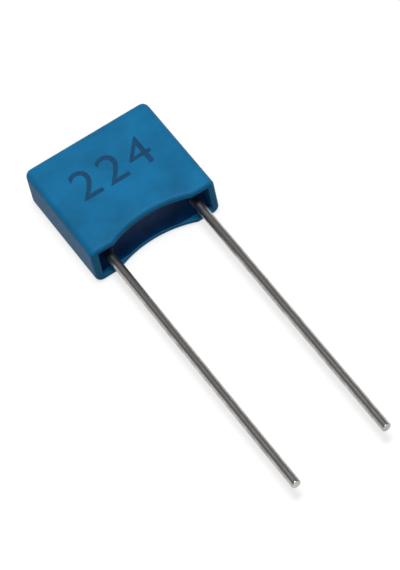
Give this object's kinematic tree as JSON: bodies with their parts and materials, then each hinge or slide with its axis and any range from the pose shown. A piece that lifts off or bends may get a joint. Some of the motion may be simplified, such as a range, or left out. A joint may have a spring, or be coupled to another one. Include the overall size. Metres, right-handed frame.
{
  "type": "polyester film capacitor",
  "caption": "Small rectangular boxed film capacitor in a moulded case with feet, filled with resin, with two straight round wire leads out of the open side.",
  "frame": {"origin": "midway between the two leads, in the plane that the case's feet stand on and at half the case's thickness", "axes": "+X across the width from the left lead to the right lead, +Y towards the closed top of the case with the leads running to -Y, +Z out of the marked broad face; the part lies on its back face, at -Z"},
  "size_m": [0.0072, 0.0228, 0.0024],
  "materials": {
    "case_plastic": "semi-gloss moulded blue thermoplastic",
    "potting_resin": "blue-black cast epoxy resin",
    "metallised_film": "stacked silvery metallised film",
    "blank_film": "clear to milky polyester film",
    "sprayed_metal": "dull grey sprayed metal",
    "tinned_wire": "satin tinned wire"
  },
  "bodies": {
    "root": {"case": "case_plastic", "resin_fill": "potting_resin", "film_stack": "metallised_film", "front_cover_film": "blank_film", "back_cover_film": "blank_film", "left_end_spray": "sprayed_metal", "right_end_spray": "sprayed_metal", "left_lead": "tinned_wire", "right_lead": "tinned_wire"}
  },
  "joints": []
}
